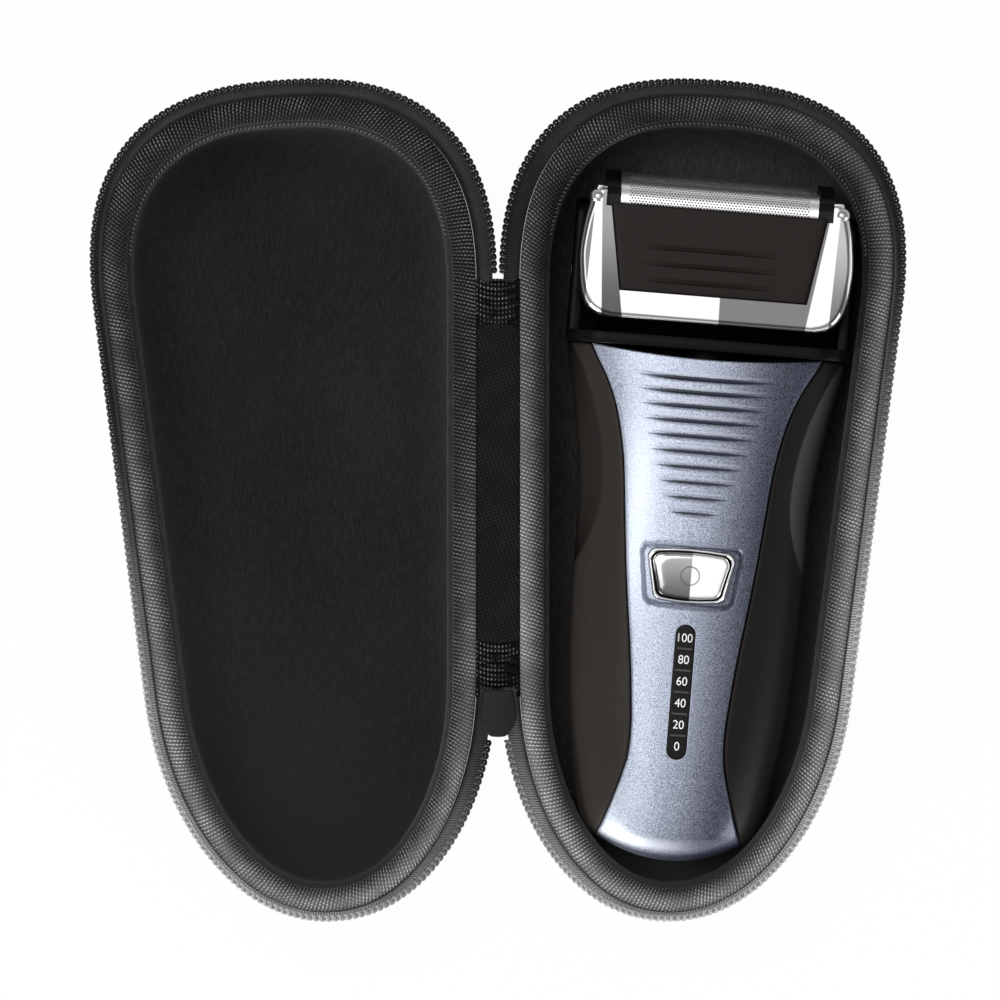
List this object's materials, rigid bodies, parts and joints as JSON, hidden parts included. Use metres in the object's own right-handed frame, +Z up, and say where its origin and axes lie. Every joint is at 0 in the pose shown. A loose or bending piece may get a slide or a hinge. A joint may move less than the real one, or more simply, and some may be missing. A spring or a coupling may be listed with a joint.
{
  "type": "electric shaver hard case",
  "caption": "Zipped two-half hard case that opens flat on a fabric hinge, with an electric foil shaver that lifts out of one half.",
  "frame": {"origin": "on the table under the middle of the open case: X = 0 is the hinge line between the two halves, Y = 0 is half way along the zipper line, and Z = 0 is the table", "axes": "+Z up from the table, +Y along the halves towards the wide end and the shaver's head, +X from the hinge line across the half that holds the shaver"},
  "size_m": [0.1916, 0.198, 0.0411],
  "materials": {
    "moulded_shell": "moulded foam shell with a matt nylon face",
    "lining": "brushed jersey lining",
    "binding": "ribbed woven binding tape",
    "zip_tape": "fine woven zipper tape",
    "zip_teeth": "moulded coil teeth",
    "zip_metal": "dark enamel on zinc",
    "grip": "satin brown-black plastic",
    "black_plastic": "fine satin",
    "panel": "pearl blue-grey lacquer",
    "chrome": "bright plating",
    "gauge": "smoked clear lens over black",
    "face": "polished brown-black",
    "steel": "bright steel",
    "board": "green circuit board",
    "cells": "sleeved steel cans",
    "inner_plastic": "plain moulding"
  },
  "bodies": {
    "base": {"base_shell": "moulded_shell", "base_lining": "lining", "base_binding": "binding", "base_zip_tape": "zip_tape", "base_zip_teeth": "zip_teeth", "hinge_web": "binding", "zip_end_fold_top": "zip_tape", "zip_end_fold_bottom": "zip_tape"},
    "lid": {"lid_shell": "moulded_shell", "lid_lining": "lining", "lid_binding": "binding", "lid_zip_tape": "zip_tape", "lid_zip_teeth": "zip_teeth"},
    "slider": {"zip_slider": "zip_metal"},
    "pull": {"zip_pull": "zip_metal"},
    "shaver": {"rear_housing": "black_plastic", "left_grip": "grip", "right_grip": "grip", "front_panel": "panel", "end_cap": "black_plastic", "charge_socket": "black_plastic", "button_bezel": "chrome", "switch": "inner_plastic", "gauge_window": "gauge", "circuit_board": "board", "battery_cells": "cells", "chassis": "inner_plastic", "board_screws": "steel", "motor": "steel", "neck_yoke": "black_plastic", "pivot_pins": "steel"},
    "button": {"power_button": "chrome"},
    "cam": {"motor_cam": "steel"},
    "head": {"head_core": "black_plastic", "head_frame": "chrome", "head_face": "face", "foil_cassette": "black_plastic"},
    "front_foil": {"foil_front": "steel"},
    "rear_foil": {"foil_rear": "steel"},
    "mid_trimmer": {"centre_trimmer": "steel"},
    "drive": {"drive_bridge": "inner_plastic"},
    "front_cutter": {"cutter_front": "steel"},
    "rear_cutter": {"cutter_rear": "steel"},
    "trimmer": {"hair_trimmer": "steel", "trimmer_slide": "black_plastic"}
  },
  "joints": [
    {"name": "lid_hinge", "type": "hinge", "parent": "base", "child": "lid", "pos_m": [0, 0, 0.034], "axis": [0, -1, 0], "range_deg": [-180, 0]},
    {"name": "slider_turn", "type": "hinge", "parent": "base", "child": "slider", "pos_m": [0, 0, 0.034], "axis": [0, -1, 0], "range_deg": [-90, 0]},
    {"name": "pull_swing", "type": "hinge", "parent": "slider", "child": "pull", "pos_m": [0, -0.05, 0.0299], "axis": [1, 0, 0], "range_deg": [-80, 80]},
    {"name": "shaver_lift", "type": "slide", "parent": "base", "child": "shaver", "axis": [0, 0, 1], "range_m": [0, 0.09]},
    {"name": "power_press", "type": "slide", "parent": "shaver", "child": "button", "axis": [0, 0, -1], "range_m": [0, 0.0008], "stiffness_N_per_m": 1500, "springref_m": -0.0006},
    {"name": "cam_spin", "type": "hinge", "parent": "shaver", "child": "cam", "pos_m": [0.04922, 0.03481, 0.0225], "axis": [0.0802, 0.9968, 0], "continuous": true},
    {"name": "head_tilt", "type": "hinge", "parent": "shaver", "child": "head", "pos_m": [0.05059, 0.05176, 0.0225], "axis": [0.9968, -0.0802, 0], "range_deg": [-8, 8], "stiffness_Nm_per_rad": 0.6},
    {"name": "front_foil_float", "type": "slide", "parent": "head", "child": "front_foil", "axis": [-0.0784, -0.975, -0.2079], "range_m": [0, 0.0015], "stiffness_N_per_m": 500, "springref_m": -0.001},
    {"name": "rear_foil_float", "type": "slide", "parent": "head", "child": "rear_foil", "axis": [-0.0784, -0.975, -0.2079], "range_m": [0, 0.0015], "stiffness_N_per_m": 500, "springref_m": -0.001},
    {"name": "mid_trimmer_float", "type": "slide", "parent": "head", "child": "mid_trimmer", "axis": [-0.0784, -0.975, -0.2079], "range_m": [0, 0.0015], "stiffness_N_per_m": 500, "springref_m": -0.001},
    {"name": "drive_stroke", "type": "slide", "parent": "head", "child": "drive", "axis": [0.9968, -0.0802, 0], "range_m": [-0.0012, 0.0012]},
    {"name": "front_cutter_float", "type": "slide", "parent": "drive", "child": "front_cutter", "axis": [-0.0784, -0.975, -0.2079], "range_m": [0, 0.0015]},
    {"name": "rear_cutter_float", "type": "slide", "parent": "drive", "child": "rear_cutter", "axis": [-0.0784, -0.975, -0.2079], "range_m": [0, 0.0015]},
    {"name": "trimmer_rise", "type": "slide", "parent": "shaver", "child": "trimmer", "axis": [0.0802, 0.9968, 0], "range_m": [0, 0.012]}
  ],
  "couplings": [
    {"joint": "slider_turn", "follows": "lid_hinge", "ratio": 0.5},
    {"joint": "front_cutter_float", "follows": "front_foil_float", "ratio": 1},
    {"joint": "rear_cutter_float", "follows": "rear_foil_float", "ratio": 1}
  ]
}
